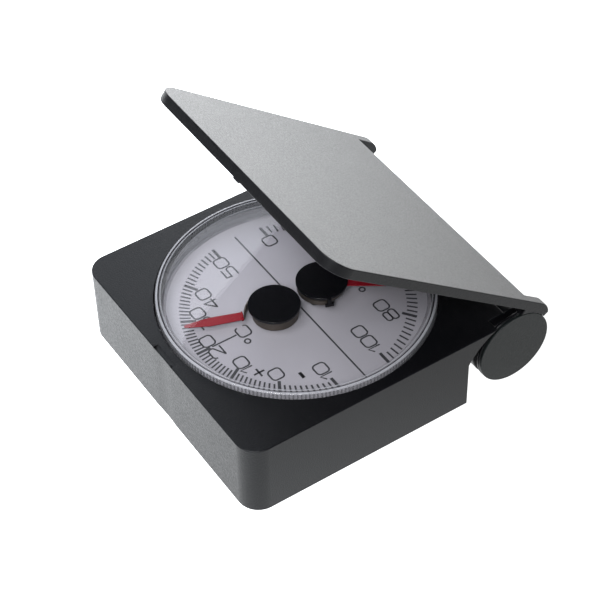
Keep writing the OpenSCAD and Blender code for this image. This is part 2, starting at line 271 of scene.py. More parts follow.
def eased_mesh(name, node, radius, material, steps=3, crisp=lambda middle: False):
    """A merged copy of a CAD node with its outer edges rounded, except those whose middle is crisp.
    The faces made by the rounding carry the attribute edge, which the plastics use for wear."""
    shape = bmesh.new()
    shape.from_mesh(frame["nodes"][node].data)
    for layer in list(shape.loops.layers.uv):
        shape.loops.layers.uv.remove(layer)
    bmesh.ops.remove_doubles(shape, verts=shape.verts, dist=WELD)
    bmesh.ops.dissolve_limit(shape, angle_limit=FLAT_ANGLE, verts=shape.verts[:],
                             edges=shape.edges[:])
    edge = shape.faces.layers.float.new("edge")
    outer = [e for e in shape.edges if e.is_manifold
             and e.calc_face_angle_signed() > CORNER_ANGLE
             and not crisp((e.verts[0].co + e.verts[1].co) / 2)]
    made = bmesh.ops.bevel(shape, geom=outer, offset=radius, offset_type="OFFSET", segments=steps,
                           profile=0.5, affect="EDGES", clamp_overlap=False, material=-1)
    for face in made["faces"]:
        face[edge] = 1
    for face in shape.faces:
        face.material_index = 0
    mesh = bpy.data.meshes.new(name)
    shape.to_mesh(mesh)
    shape.free()
    mesh.materials.append(material)
    return settle_normals(mesh, math.radians(50))


def turned_mesh(name, profile, steps):
    """Turns a closed profile of (radius, height) points about the Z axis."""
    shape = bmesh.new()
    rings = []
    for i in range(steps):
        a = 2 * math.pi * i / steps
        rings.append([shape.verts.new((r * math.cos(a), r * math.sin(a), z)) for r, z in profile])
    for i in range(steps):
        here, there = rings[i], rings[(i + 1) % steps]
        for j in range(len(profile)):
            k = (j + 1) % len(profile)
            if profile[j][0] or profile[k][0]:
                shape.faces.new((here[j], there[j], there[k], here[k]))
    bmesh.ops.remove_doubles(shape, verts=shape.verts, dist=WELD / 2)
    bmesh.ops.recalc_face_normals(shape, faces=shape.faces)
    mesh = bpy.data.meshes.new(name)
    shape.to_mesh(mesh)
    shape.free()
    return mesh


def arc(x, y, radius, start, end, steps):
    """Points on an arc about (x, y), from angle start to angle end in degrees."""
    angles = [math.radians(start + (end - start) * i / steps) for i in range(steps + 1)]
    return [(x + radius * math.cos(a), y + radius * math.sin(a)) for a in angles]


# ---- plastics ----

def moulded_plastic(name, colour, roughness, grain, depth=0.045 * MM):
    """Satin moulded plastic with a fine sparked grain, and edges rubbed a little paler."""
    finish = Finish(name, {"IOR": 1.5, "Specular IOR Level": 0.22,
                           "Specular Tint": (0.94, 0.98, 1.0, 1)})
    clouds = finish.noise(5 * MM)
    speckle = finish.noise(grain, 2)
    edge = finish.node("ShaderNodeAttribute", {"attribute_name": "edge"}, output="Fac")
    rubbed = (edge * (finish.noise(2.5 * MM) * 3 - 1)).math("MAXIMUM", 0)
    wear = (rubbed * 0.5 + speckle * 0.3 + clouds * 0.2).math("MINIMUM", 1)
    finish.feed("Base Color", finish.between(wear, [c * 0.6 for c in colour], [c * 2 for c in colour]))
    finish.feed("Roughness", roughness + (clouds - 0.5) * 0.03 + (speckle - 0.5) * 0.35 - rubbed * 0.05)
    finish.relief(speckle, depth)
    return finish.material


def printed_ink(name, colour):
    """Matt screen-printed ink with a slightly uneven film."""
    finish = Finish(name, {"Roughness": 0.55})
    film = finish.noise(0.5 * MM)
    finish.feed("Base Color", finish.between(film, colour, [c + 0.02 for c in colour]))
    return finish.material


def silver_lacquer(name, colour):
    """Silver lacquer on the dial: fine metal flake under a satin film."""
    finish = Finish(name, {"Metallic": 0.2, "Specular IOR Level": 0.2})
    flake = finish.noise(0.09 * MM, 1)
    drift = finish.noise(9 * MM)
    shade = (flake * 0.7 + drift * 0.3)
    finish.feed("Base Color", finish.between(shade, [c * 0.86 for c in colour], [c * 1.12 for c in colour]))
    finish.feed("Roughness", 0.5 + (flake - 0.5) * 0.25)
    finish.relief(flake, 0.004 * MM, 0.5)
    return finish.material


def gloss_black(name, colour):
    """Gloss black moulding with the faint ripple of a polished tool."""
    finish = Finish(name, {"IOR": 1.5, "Specular IOR Level": 0.2})
    ripple = finish.noise(1.5 * MM)
    finish.feed("Base Color", finish.between(ripple, [c * 0.7 for c in colour], colour))
    finish.feed("Roughness", 0.1 + ripple * 0.1)
    finish.relief(ripple, 0.002 * MM, 0.3)
    return finish.material


def pointer_paint(name, colour):
    """Sprayed red paint with a light orange peel."""
    finish = Finish(name, {"Coat Weight": 0.08, "Coat Roughness": 0.2, "Specular IOR Level": 0.25})
    peel = finish.noise(0.25 * MM)
    finish.feed("Base Color", finish.between(peel, [c * 0.8 for c in colour], colour))
    finish.feed("Roughness", 0.35 + peel * 0.15)
    finish.relief(peel, 0.004 * MM, 0.4)
    return finish.material


def metal(name, colour, roughness, lines, stretch):
    """Bare metal with fine lines left by rolling, turning or plating."""
    finish = Finish(name, {"Metallic": 1.0})
    streaks = finish.noise(lines, 3, stretch)
    tarnish = finish.noise(2 * MM)
    shade = streaks * 0.6 + tarnish * 0.4
    finish.feed("Base Color", finish.between(shade, [c * 0.7 for c in colour], [c * 1.1 for c in colour]))
    finish.feed("Roughness", roughness + (streaks - 0.5) * 0.3)
    finish.relief(streaks, 0.006 * MM, 0.5)
    return finish.material


def clear_window(name):
    """Thin clear sheet: what lies under it shows straight through, with a reflection that grows
    from 3 per cent head on to 13 at a glance."""
    finish = Finish(name, {})
    tree = finish.tree
    tree.nodes.remove(finish.shader)
    haze = finish.noise(4 * MM)
    through = finish.node("ShaderNodeBsdfTransparent", None, {"Color": (0.985, 0.988, 0.992, 1)})
    gloss = finish.node("ShaderNodeBsdfAnisotropic", None, {"Color": (1, 1, 1, 1), "Roughness": 0.03})
    slant = finish.node("ShaderNodeLayerWeight", None, {"Blend": 0.5}, "Facing")
    mirror = 0.026 + slant.math("POWER", 5) * 0.1 + haze * 0.004
    blend = finish.node("ShaderNodeMixShader", None, {0: mirror, 1: through, 2: gloss})
    tree.links.new(blend.output, tree.nodes["Material Output"].inputs["Surface"])
    return finish.material


def clear_rim(name, colour, body, roughness):
    """Thick clear styrene drawn as a see-through grey, whose colour paints the light and shade seen in it;
    it hides more at a glance, which paints paler edges: body is how much it hides.
    """
    finish = Finish(name, {"IOR": 1.5, "Specular IOR Level": 0.6})
    flow = finish.noise(1.2 * MM)
    slant = finish.node("ShaderNodeLayerWeight", None, {"Blend": 0.5}, "Facing")
    finish.feed("Base Color", finish.between(flow, [c * 0.85 for c in colour], colour))
    finish.feed("Alpha", (body + slant * 0.35 + flow * 0.1).math("MINIMUM", 1))
    finish.feed("Roughness", roughness + flow * 0.1)
    return finish.material


# ---- settings ----

def length(name, description, millimetres):
    return FloatProperty(name=name, description=description, default=millimetres * MM,
                         min=0, precision=6, unit="LENGTH")


def colour(name, description, value):
    return FloatVectorProperty(name=name, description=description, default=value,
                               size=3, min=0, max=1, subtype="COLOR")


class ShellSettings(PropertyGroup):
    case_edge: length("Case edge radius", "Rounding of the case's outer edges", 0.2)
    lid_edge: length("Lid edge radius", "Rounding of the lid's outer edges", 0.2)
    disc_edge: length("Disc edge radius", "Rounding of the hinge discs' rims", 0.12)
    grain: length("Grain", "Size of the grain moulded into the plastic", 0.3)
    plastic: colour("Plastic", "Colour of the case and the lid", (0.0022, 0.0022, 0.003))
    disc_plastic: colour("Disc plastic", "Colour of the hinge discs", (0.004, 0.0055, 0.0055))
    roughness: FloatProperty(name="Roughness", description="Roughness of the plastic",
                             default=0.38, min=0, max=1, subtype="FACTOR")


class DishSettings(PropertyGroup):
    rib_count: IntProperty(name="Ribs", description="Ribs round the dish's outer wall",
                           default=228, min=12)
    rib_radius: length("Rib radius", "Radius of each rib", 0.16)
    window_thickness: length("Window thickness", "Thickness of the flat window", 0.7)
    edge: length("Edge radius", "Rounding of the dish's top edge", 0.22)


class DialSettings(PropertyGroup):
    shift: FloatVectorProperty(name="Print shift", description="Where the print's centre lies",
                               default=(-0.3 * MM, -0.2 * MM, 0), size=3, unit="LENGTH")
    print_pivot: length("Pivot distance", "From the print's centre to each scale's pivot", 5.6)
    scale_radius: length("Scale radius", "Circle on which the marks end", 23.1)
    mark: length("Mark length", "Length of the short marks", 2.1)
    mark_width: length("Mark width", "Width of the short marks", 0.36)
    long_mark: length("Long mark length", "Length of the numbered marks", 3.0)
    long_mark_width: length("Long mark width", "Width of the numbered marks", 0.62)
    numeral_height: length("Numeral height", "Height of the numerals", 2.6)
    stroke: length("Stroke", "Width of a numeral's stroke", 0.34)
    film: length("Ink film", "Thickness of the printed ink", 0.02)
    lacquer: colour("Lacquer", "Colour of the dial", (0.315, 0.305, 0.335))
    ink: colour("Ink", "Colour of the print", (0.012, 0.012, 0.016))


class MovementSettings(PropertyGroup):
    strip: length("Strip thickness", "Thickness of the coil strip", 0.25)
    coil_radius: length("Coil radius", "Radius of a coil's outer turn", 5.0)
    coil_inner: length("Inner radius", "Radius of a coil's inner turn", 1.2)
    turns: IntProperty(name="Turns", description="Turns in each coil", default=5, min=2)
    swing: length("Swing", "How far the thermometer coil's end stands out", 0.9)
    red: colour("Pointer red", "Colour of the pointers", (0.2, 0.003, 0.01))
    black: colour("Cap black", "Colour of the caps", (0.002, 0.002, 0.003))
    bimetal: colour("Strip", "Colour of the coil strip", (0.14, 0.122, 0.105))
    edge: length("Edge radius", "Rounding of the caps and pointers", 0.06)


class StageSettings(PropertyGroup):
    floor_size: length("Floor size", "Width of the floor", 3000)
    distance: length("Camera distance", "From the camera to its target", 381.391)
    focal: FloatProperty(name="Focal length", description="Lens of the camera, in millimetres",
                         default=115.638, min=10)
    azimuth: FloatProperty(name="Azimuth", description="Where the camera stands round the object",
                           default=math.radians(237.302), subtype="ANGLE")
    elevation: FloatProperty(name="Elevation", description="How high the camera stands",
                             default=math.radians(45.599), subtype="ANGLE")
    roll: FloatProperty(name="Roll", description="Tilt of the camera's horizon",
                        default=math.radians(-1.412), subtype="ANGLE")


class ThermoHygroSettings(PropertyGroup):
    shell: PointerProperty(type=ShellSettings)
    dish: PointerProperty(type=DishSettings)
    dial: PointerProperty(type=DialSettings)
    movement: PointerProperty(type=MovementSettings)
    stage: PointerProperty(type=StageSettings)


# ---- shells ----

class THERMOHYGRO_OT_case(Operator):
    """Makes the case and the back cover with eased edges and a grained finish"""
    bl_idname = "thermohygro.case"
    bl_label = "Case"

    def execute(self, context):
        look = context.scene.thermohygro.shell
        case = moulded_plastic("case plastic", look.plastic, look.roughness, look.grain)
        cover = moulded_plastic("cover plastic", look.plastic, look.roughness + 0.06, look.grain)
        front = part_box("case_body")[1]
        seat = Vector((3.4, 1.3, 0.4)) * MM
        front_band, front_reach = 0.2 * MM, 2.95 * MM

        def in_seat(middle):
            """True on the shallow seat for the lid's catch, which is too fine to ease, but for its
            front edge."""
            on_front = middle.y > front.y - front_band and abs(middle.x) < front_reach
            return (abs(middle.x) < seat.x and middle.y > front.y - seat.y
                    and middle.z > front.z - seat.z and not on_front)

        add_piece("case_shell", eased_mesh("case_shell", "case_body", look.case_edge, case, 3, in_seat),
                  "case", "case_plastic", "case_body")
        add_piece("cover_shell", eased_mesh("cover_shell", "back_cover", look.case_edge, cover),
                  "case", "cover_plastic", "back_cover")
        return {"FINISHED"}


class THERMOHYGRO_OT_lid(Operator):
    """Makes the flip lid and the outer halves of its end discs"""
    bl_idname = "thermohygro.lid"
    bl_label = "Lid and hinge discs"

    def execute(self, context):
        look = context.scene.thermohygro.shell
        plastic = moulded_plastic("lid plastic", look.plastic, look.roughness, look.grain)
        disc = moulded_plastic("disc plastic", look.disc_plastic, look.roughness + 0.04, look.grain)
        add_piece("lid_shell", eased_mesh("lid_shell", "lid", look.lid_edge, plastic),
                  "lid", "lid_plastic", "lid")
        for side in ("left", "right"):
            name, node = f"{side}_hinge_disc", f"hinge_cap_{side}"
            add_piece(name, eased_mesh(name, node, look.disc_edge, disc), "lid", "cap_plastic", node)
        return {"FINISHED"}


def screw_points():
    """The middle of each cover screw's head, as the vertices of a mesh."""
    shape = bmesh.new()
    shape.from_mesh(frame["nodes"]["cover_screws"].data)
    bmesh.ops.remove_doubles(shape, verts=shape.verts, dist=WELD)
    low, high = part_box("cover_screws")
    corners = {}
    for vert in shape.verts:
        key = (vert.co.x > (low.x + high.x) / 2, vert.co.y > (low.y + high.y) / 2)
        corners.setdefault(key, []).append(vert.co.copy())
    shape.free()
    mesh = bpy.data.meshes.new("screw points")
    middles = []
    for group in corners.values():
        xs, ys = [c.x for c in group], [c.y for c in group]
        middles.append(((min(xs) + max(xs)) / 2, (min(ys) + max(ys)) / 2, low.z))
    mesh.from_pydata(middles, [], [])
    return mesh


class THERMOHYGRO_OT_screws(Operator):
    """Makes the four cover screws, with domed heads and cross recesses"""
    bl_idname = "thermohygro.screws"
    bl_label = "Cover screws"

    def execute(self, context):
        steel = metal("zinc steel", (0.55, 0.55, 0.57), 0.3, 0.4 * MM, (1, 1, 0.1))
        height = size_of("cover_screws").z
        head, shank, rise = 1.89 * MM, 0.9 * MM, 1 * MM
        profile = [(0, 0.12 * MM), (head * 0.55, 0.16 * MM), (head * 0.85, 0.34 * MM),
                   (head, 0.55 * MM), (head, rise), (shank, rise), (shank, height - 0.6 * MM),
                   (shank * 0.5, height), (0, height)]
        blank = turned_mesh("screw blank", profile, 40)
        blank_object = bpy.data.objects.new("screw blank", blank)
        context.scene.collection.objects.link(blank_object)
        recipe = Recipe("set screws", {"Arm": 1.1 * MM, "Slot": 0.32 * MM, "Depth": 0.6 * MM},
                        takes_mesh=True)
        screw = recipe.node("GeometryNodeObjectInfo", None, {"Object": blank_object}, "Geometry")
        for turn in (0, 1):
            long, short = recipe["Arm"] * 2, recipe["Slot"]
            size = recipe.vector(*((long, short) if turn else (short, long)), recipe["Depth"] * 2)
            cutter = recipe.node("GeometryNodeMeshCube", None, {"Size": size})
            screw = recipe.node("GeometryNodeMeshBoolean", {"operation": "DIFFERENCE"},
                                {0: screw, 1: cutter})
        placed = recipe.node("GeometryNodeInstanceOnPoints", None,
                             {"Points": recipe["Geometry"], "Instance": screw})
        group = recipe.close(placed, steel)
        mesh = grown_mesh("cover_screw_set", group, {}, screw_points())
        bpy.data.objects.remove(blank_object)
        add_piece("cover_screw_set", settle_normals(mesh, math.radians(35)), "case", "screw_steel",
                  "cover_screws")
        return {"FINISHED"}


# ---- clear dish ----

class THERMOHYGRO_OT_dish(Operator):
    """Makes the clear dish over the dial: window, stepped rim and ribbed outer wall"""
    bl_idname = "thermohygro.dish"
    bl_label = "Clear dish"

    def execute(self, context):
        look = context.scene.thermohygro.dish
        outer, top = DISH_RADIUS - look.rib_radius, DISH_TOP
        edge, foot, skirt = look.edge, CUP_TOP, DIAL_RADIUS
        wall, lip = 0.65 * MM, 0.15 * MM
        groove, bead, groove_depth = outer - 0.55 * MM, 0.12 * MM, 0.22 * MM
        # A thin ring on the rim top with no step of its own, cut only to carry a painted highlight line
        line, line_width = skirt + 0.2 * MM, 0.13 * MM
        inner, under = skirt - wall, top - look.window_thickness
        profile = [(0, under), (inner, under), (inner, under - lip), (inner, DIAL_TOP),
                   (skirt, DIAL_TOP), (skirt, foot), (outer, foot)]
        profile += arc(outer - edge, top - edge, edge, 0, 90, 5)
        profile += [(groove + bead, top), (groove, top - groove_depth), (groove - bead, top)]
        profile += [(line, top), (line - line_width, top), (0, top)]
        dish = turned_mesh("clear_dish", profile, 192)
        dish.materials.append(clear_window("clear window"))
        # Each zone: its name, then the grey that paints the light and shade the clear plastic shows there,
        # how much it hides and its roughness
        zones = (("outer wall", (0.17, 0.175, 0.19), 0.1, 0.2),
                 ("inner wall", (0.34, 0.34, 0.38), 0.0, 0.4),
                 # painted shade: the groove's faces get a near-black grey that paints a dark shadow line in
                 # the clear rim
                 ("rim groove", (0.02, 0.02, 0.025), 0.6, 0.1),
                 # painted highlight: the outer rounding, the thin ring on the rim top and the inner lip get
                 # a pale grey that paints their glints
                 ("bright edge", (0.42, 0.43, 0.47), 0.4, 0.1),
                 ("rim top", (0.22, 0.225, 0.25), 0.15, 0.1))
        for label, tint, body, roughness in zones:
            dish.materials.append(clear_rim(label, tint, body, roughness))
        window, outer_wall, inner_wall, painted_shade_groove, painted_highlight_edge, rim_top = range(6)
        for face in dish.polygons:
            reach, height = face.center.xy.length, face.center.z
            on_top = height > top - edge * 1.05
            if on_top and reach > line - line_width:
                zone = painted_shade_groove if abs(reach - groove) < bead else painted_highlight_edge
                if line < reach < groove - bead:
                    zone = rim_top
            elif on_top or reach < inner * 0.99:
                zone = window
            elif reach < skirt + 0.1 * MM:
                # The inner lip carries the painted highlight, the rest of the inner wall its own painted
                # grey
                zone = painted_highlight_edge if height > under - lip else inner_wall
            else:
                zone = outer_wall
            face.material_index = zone
        add_piece("clear_dish", settle_normals(dish, math.radians(25)), "case", "clear_lens", "lens")
        ribs = grown_mesh("dish_ribs", self.rib_recipe(dish.materials[1]), {
            "Count": look.rib_count, "Wall Radius": outer - 0.02 * MM, "Rib Radius": look.rib_radius,
            "Foot": foot + 0.05 * MM, "Height": top - edge * 1.2 - foot})
        add_piece("dish_ribs", settle_normals(ribs, math.radians(50)), "case", "clear_lens")
        return {"FINISHED"}

    def rib_recipe(self, material):
        """Half-round upright ribs spaced evenly round a wall."""
        recipe = Recipe("dish ribs", {"Count": 200, "Wall Radius": 0.027, "Rib Radius": 0.0002,
                                      "Foot": 0.0, "Height": 0.002})
        step = 2 * math.pi / recipe["Count"]
        angle = recipe.node("GeometryNodeInputIndex") * step
        radius, rise = recipe["Wall Radius"], recipe["Foot"] + recipe["Height"] / 2
        place = recipe.vector(radius * angle.math("COSINE"), radius * angle.math("SINE"), rise)
        points = recipe.node("GeometryNodePoints", None, {"Count": recipe["Count"], "Position": place})
        rib = recipe.node("GeometryNodeMeshCylinder", {"fill_type": "NGON"},
                          {"Vertices": 10, "Radius": recipe["Rib Radius"], "Depth": recipe["Height"]})
        ribs = recipe.node("GeometryNodeInstanceOnPoints", None,
                           {"Points": points, "Instance": rib, "Rotation": recipe.vector(0, 0, angle)})
        return recipe.close(ribs, material)


# ---- printed dial ----

def loop(x, y, width, height, radius):
    """A closed rounded box, as points (x, y, corner radius)."""
    return [(x, y, radius), (x + width, y, radius), (x + width, y + height, radius), (x, y + height, radius)]


# Between characters, for a height of 1, and half the dividing line's length in millimetres
LETTER_GAP = 0.16
DIVIDER_REACH = 23

# Each character for a height of 1: its width, then its strokes. A stroke is whether it is closed
# and its points (x, y, corner radius).
GLYPHS = {
    "0": (1.04, [(True, loop(0, 0, 1.04, 1, 0.3))]),
    "1": (0.42, [(False, [(0, 0.7, 0), (0.42, 1, 0), (0.42, 0, 0)])]),
    "2": (1.04, [(False, [(0.03, 0.7, 0), (0.03, 1, 0.26), (1.04, 1, 0.28), (1.04, 0.56, 0.22),
                          (0.02, 0, 0.02), (1.04, 0, 0)])]),
    "3": (1.04, [(False, [(0, 1, 0), (1, 1, 0.22), (1, 0.53, 0.22), (0.35, 0.53, 0)]),
                 (False, [(0.35, 0.53, 0), (1.04, 0.53, 0.24), (1.04, 0, 0.26), (0, 0, 0)])]),
    "4": (1.04, [(False, [(0.79, 0, 0), (0.79, 1, 0.02), (0, 0.3, 0.03), (1.04, 0.3, 0)])]),
    "5": (1.04, [(False, [(0.98, 1, 0), (0.1, 1, 0.05), (0.04, 0.58, 0.04), (1.04, 0.58, 0.25),
                          (1.04, 0, 0.26), (0, 0, 0)])]),
    "6": (1.04, [(False, [(0.96, 1, 0), (0, 1, 0.28), (0, 0, 0.28), (1.04, 0, 0.26),
                          (1.04, 0.58, 0.25), (0.02, 0.58, 0)])]),
    "8": (1.04, [(True, loop(0, 0, 1.04, 0.53, 0.24)), (True, loop(0.07, 0.53, 0.9, 0.47, 0.22))]),
    "C": (1.04, [(False, [(1.04, 0.74, 0), (1.04, 1, 0.3), (0, 1, 0.3), (0, 0, 0.3), (1.04, 0, 0.3),
                          (1.04, 0.26, 0)])]),
    "+": (0.76, [(True, loop(0, 0.36, 0.76, 0.06, 0)), (True, loop(0.35, 0, 0.06, 0.78, 0))]),
    "-": (0.76, [(False, [(0, y, 0), (0.62, y, 0)]) for y in (0, 0.07, 0.14)]),
    "o": (0.44, [(True, [(x, y, 0) for x, y in arc(0.22, 0.22, 0.22, 0, 330, 11)])]),
    "/": (1.2, [(False, [(0, 0, 0), (1.2, 1.3, 0)])]),
    "|": (0.0, [(False, [(0, 0, 0), (0, 2.1, 0)])]),
}


# Every printed word: its text, and the left and lower edge of its box, in millimetres
PRINT = [
    ("2", -3.1, 18.4), ("0", 0.4, 18.4), ("|", 0.0, 14.2),
    ("10", -9.4, 16.0), ("+", -11.6, 14.9), ("0", -14.1, 12.2), ("-", -16.5, 9.5), ("10", -19.2, 4.5),
    ("30", 4.6, 16.0), ("40", 8.4, 12.4), ("50", 13.8, 4.9), ("o", -3.15, 12.75), ("C", -1.3, 11.3),
    ("0", 16.8, -6.5), ("100", -18.6, -6.9), ("80", -13.8, -14.4), ("20", 8.1, -14.4),
    ("60", -6.3, -20.2), ("40", 0.6, -20.2),
    ("o", -4.2, -13.1), ("/", -3.7, -16.2), ("o", -1.3, -16.2),
]


class THERMOHYGRO_OT_dial(Operator):
    """Prints both scales and the numerals on the silver dial"""
    bl_idname = "thermohygro.dial"
    bl_label = "Printed dial"

    def execute(self, context):
        look = context.scene.thermohygro.dial
        for slot in frame["nodes"]["dial_plate"].material_slots:
            slot.material = silver_lacquer("silver lacquer", look.lacquer)
        ink = printed_ink("dial ink", look.ink)
        marks = self.mark_recipe(ink)
        degrees = math.radians
        shared = {
            "Dial Centre": tuple(look.shift), "Scale Radius": look.scale_radius, "Long Every": 10,
            "Length": look.mark, "Width": look.mark_width, "Long Length": look.long_mark,
            "Long Width": look.long_mark_width, "Level": DIAL_TOP, "Film": look.film}
        scales = {
            "temperature_marks": {"Count": 61, "First Angle": degrees(180), "Step Angle": degrees(-3),
                                  "Side": look.print_pivot},
            "humidity_marks": {"Count": 51, "First Angle": 0.0, "Step Angle": degrees(-3.6),
                               "Side": -look.print_pivot}}
        for name, sizes in scales.items():
            mesh = grown_mesh(name, marks, {**shared, **sizes})
            add_piece(name, mesh, "case", "dial_metal")
        pen = self.pen_recipe(ink)
        mesh = grown_mesh("dial_numerals", pen, {"Stroke": look.stroke, "Film": look.film},
                          self.strokes(look))
        add_piece("dial_numerals", mesh, "case", "dial_metal")
        return {"FINISHED"}

    def mark_recipe(self, ink):
        """Marks that point at a pivot and end on the scale circle, every tenth one long."""
        recipe = Recipe("scale marks", {
            "Count": 61, "First Angle": 0.0, "Step Angle": 0.1, "Side": 0.0, "Dial Centre": Vector(),
            "Scale Radius": 0.02, "Long Every": 10, "Length": 0.002, "Width": 0.0003,
            "Long Length": 0.003, "Long Width": 0.0005, "Level": 0.0, "Film": 0.00002})
        index = recipe.node("GeometryNodeInputIndex")
        angle = recipe["First Angle"] + index * recipe["Step Angle"]
        cosine, sine = angle.math("COSINE"), angle.math("SINE")
        is_long = index.math("MODULO", recipe["Long Every"]).math("LESS_THAN", 0.5)
        span = recipe["Length"] + is_long * (recipe["Long Length"] - recipe["Length"])
        width = recipe["Width"] + is_long * (recipe["Long Width"] - recipe["Width"])
        side, radius = recipe["Side"], recipe["Scale Radius"]
        rise = side * sine
        reach = (rise * rise - side * side + radius * radius).math("SQRT") - rise
        middle = reach - span / 2
        spot = recipe.vector(cosine * middle, side + sine * middle, recipe["Level"] + recipe["Film"] / 2)
        place = recipe.vector_math("ADD", spot, recipe["Dial Centre"])
        points = recipe.node("GeometryNodePoints", None, {"Count": recipe["Count"], "Position": place})
        bar = recipe.node("GeometryNodeMeshCube", None, {"Size": (1, 1, 1)})
        bars = recipe.node("GeometryNodeInstanceOnPoints", None, {
            "Points": points, "Instance": bar, "Rotation": recipe.vector(0, 0, angle),
            "Scale": recipe.vector(span, width, recipe["Film"])})
        return recipe.close(bars, ink)

    def pen_recipe(self, ink):
        """Draws a flat stroke of even width along each line, with its corners rounded."""
        recipe = Recipe("numeral pen", {"Stroke": 0.0003, "Film": 0.00002}, takes_mesh=True)
        radius = recipe.node("GeometryNodeInputNamedAttribute", {"data_type": "FLOAT"},
                             {"Name": "corner_radius"})
        line = recipe.node("GeometryNodeMeshToCurve", None, {"Mesh": recipe["Geometry"]})
        rounded = recipe.node("GeometryNodeFilletCurve", {"mode": "POLY"},
                              {"Curve": line, "Radius": radius, "Count": 6, "Limit Radius": True})
        upright = recipe.node("GeometryNodeSetCurveNormal", {"mode": "Z_UP"}, {"Curve": rounded})
        nib = recipe.node("GeometryNodeCurvePrimitiveQuadrilateral", None,
                          {"Width": recipe["Stroke"], "Height": recipe["Film"]})
        ribbon = recipe.node("GeometryNodeCurveToMesh", None,
                             {"Curve": upright, "Profile Curve": nib, "Fill Caps": True})
        return recipe.close(ribbon, ink)

    def strokes(self, look):
        """The lines of every character, laid out on the dial."""
        size = look.numeral_height
        centre = Vector(look.shift)
        points, edges, radii = [], [], []

        def draw(line, closed, scale, left, foot):
            first = len(points)
            for x, y, radius in line:
                points.append((centre.x + left + x * scale, centre.y + foot + y * scale,
                               DIAL_TOP + look.film / 2))
                radii.append(radius * scale)
            edges.extend((first + i, first + i + 1) for i in range(len(line) - 1))
            if closed:
                edges.append((len(points) - 1, first))

        for text, left, foot in PRINT:
            pen_x = left * MM
            for character in text:
                width, lines = GLYPHS[character]
                for closed, line in lines:
                    draw(line, closed, size, pen_x, foot * MM)
                pen_x += (width + LETTER_GAP) * size
        draw([(-DIVIDER_REACH, 0, 0), (DIVIDER_REACH, 0, 0)], False, MM, 0, 0)
        mesh = bpy.data.meshes.new("strokes")
        mesh.from_pydata(points, edges, [])
        mesh.attributes.new("corner_radius", "FLOAT", "POINT").data.foreach_set("value", radii)
        return mesh


# ---- movements ----

class THERMOHYGRO_OT_movements(Operator):
    """Makes the two coils, their gloss caps and the red pointers"""
    bl_idname = "thermohygro.movements"
    bl_label = "Coils, caps and pointers"

    def execute(self, context):
        look = context.scene.thermohygro.movement
        strip = metal("bimetal strip", look.bimetal, 0.55, 0.3 * MM, (0.15, 0.15, 6))
        winding = self.coil_recipe(strip)
        # The hygrometer coil ends at its hub's hook, this far round from the pointer
        hook_turn = math.radians(-74)
        coils = (("thermometer", THERMO_PIVOT, THERMO_REST, look.swing),
                 ("hygrometer", HYGRO_PIVOT, HYGRO_REST + hook_turn, 0.0))
        for kind, pivot, last, swing in coils:
            node = f"{kind}_coil"
            low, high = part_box(node)
            mesh = grown_mesh(f"{kind}_spiral", winding, {
                "Turns": look.turns, "Inner Radius": look.coil_inner, "Outer Radius": look.coil_radius,
                "Last Angle": last, "Swing": swing, "Strip": look.strip, "Height": high.z - low.z,
                "Centre": (pivot.x, pivot.y, (low.z + high.z) / 2)})
            add_piece(f"{kind}_spiral", settle_normals(mesh, math.radians(40)), f"{kind}_hand",
                      "coil_metal", node)
        black = gloss_black("gloss black", look.black)
        red = pointer_paint("pointer red", look.red)
        parts = (("thermometer", "hub", "case", "cap", black, "hub_gloss"),
                 ("hygrometer", "hub", "hygrometer_hand", "cap", black, "hub_gloss"),
                 ("thermometer", "pointer", "thermometer_hand", "blade", red, "pointer_red"),
                 ("hygrometer", "pointer", "hygrometer_hand", "blade", red, "pointer_red"))
        for kind, part, body, label, material, slot in parts:
            name, node = f"{kind}_{label}", f"{kind}_{part}"
            mesh = eased_mesh(name, node, look.edge, material, 2)
            if node == "thermometer_pointer":
                self.blacken_clip(mesh, look, black)
            add_piece(name, mesh, body, slot, node)
        return {"FINISHED"}

    def blacken_clip(self, mesh, look, black):
        """The clip that holds the coil's end is black, not red."""
        mesh.materials.append(black)
        reach = look.coil_radius + look.swing + 0.35 * MM
        for face in mesh.polygons:
            if (face.center.xy - THERMO_PIVOT.xy).length < reach:
                face.material_index = 1

    def coil_recipe(self, material):
        """A flat strip wound on edge. Over its last fifth of a turn it swings outwards."""
        recipe = Recipe("wound strip", {
            "Turns": 5, "Inner Radius": 0.001, "Outer Radius": 0.005, "Last Angle": 0.0, "Swing": 0.0,
            "Strip": 0.0002, "Height": 0.002, "Centre": Vector()})
        steps = 60
        count = recipe["Turns"] * steps + 1
        line = recipe.node("GeometryNodeMeshLine", None, {"Count": count})
        part = recipe.node("GeometryNodeInputIndex") / (count - 1)
        turns_left = recipe["Turns"] * (1 - part)
        near_end = (1 - turns_left * 5).math("MAXIMUM", 0)
        radius = (recipe["Inner Radius"] + (recipe["Outer Radius"] - recipe["Inner Radius"]) * part
                  + recipe["Swing"] * near_end * near_end)
        angle = recipe["Last Angle"] - turns_left * (2 * math.pi)
        spot = recipe.vector(radius * angle.math("COSINE"), radius * angle.math("SINE"))
        place = recipe.vector_math("ADD", spot, recipe["Centre"])
        wound = recipe.node("GeometryNodeSetPosition", None, {"Geometry": line, "Position": place})
        curve = recipe.node("GeometryNodeMeshToCurve", None, {"Mesh": wound})
        upright = recipe.node("GeometryNodeSetCurveNormal", {"mode": "Z_UP"}, {"Curve": curve})
        section = recipe.node("GeometryNodeCurvePrimitiveQuadrilateral", None,
                              {"Width": recipe["Strip"], "Height": recipe["Height"]})
        strip = recipe.node("GeometryNodeCurveToMesh", None,
                            {"Curve": upright, "Profile Curve": section, "Fill Caps": True})
        return recipe.close(strip, material)


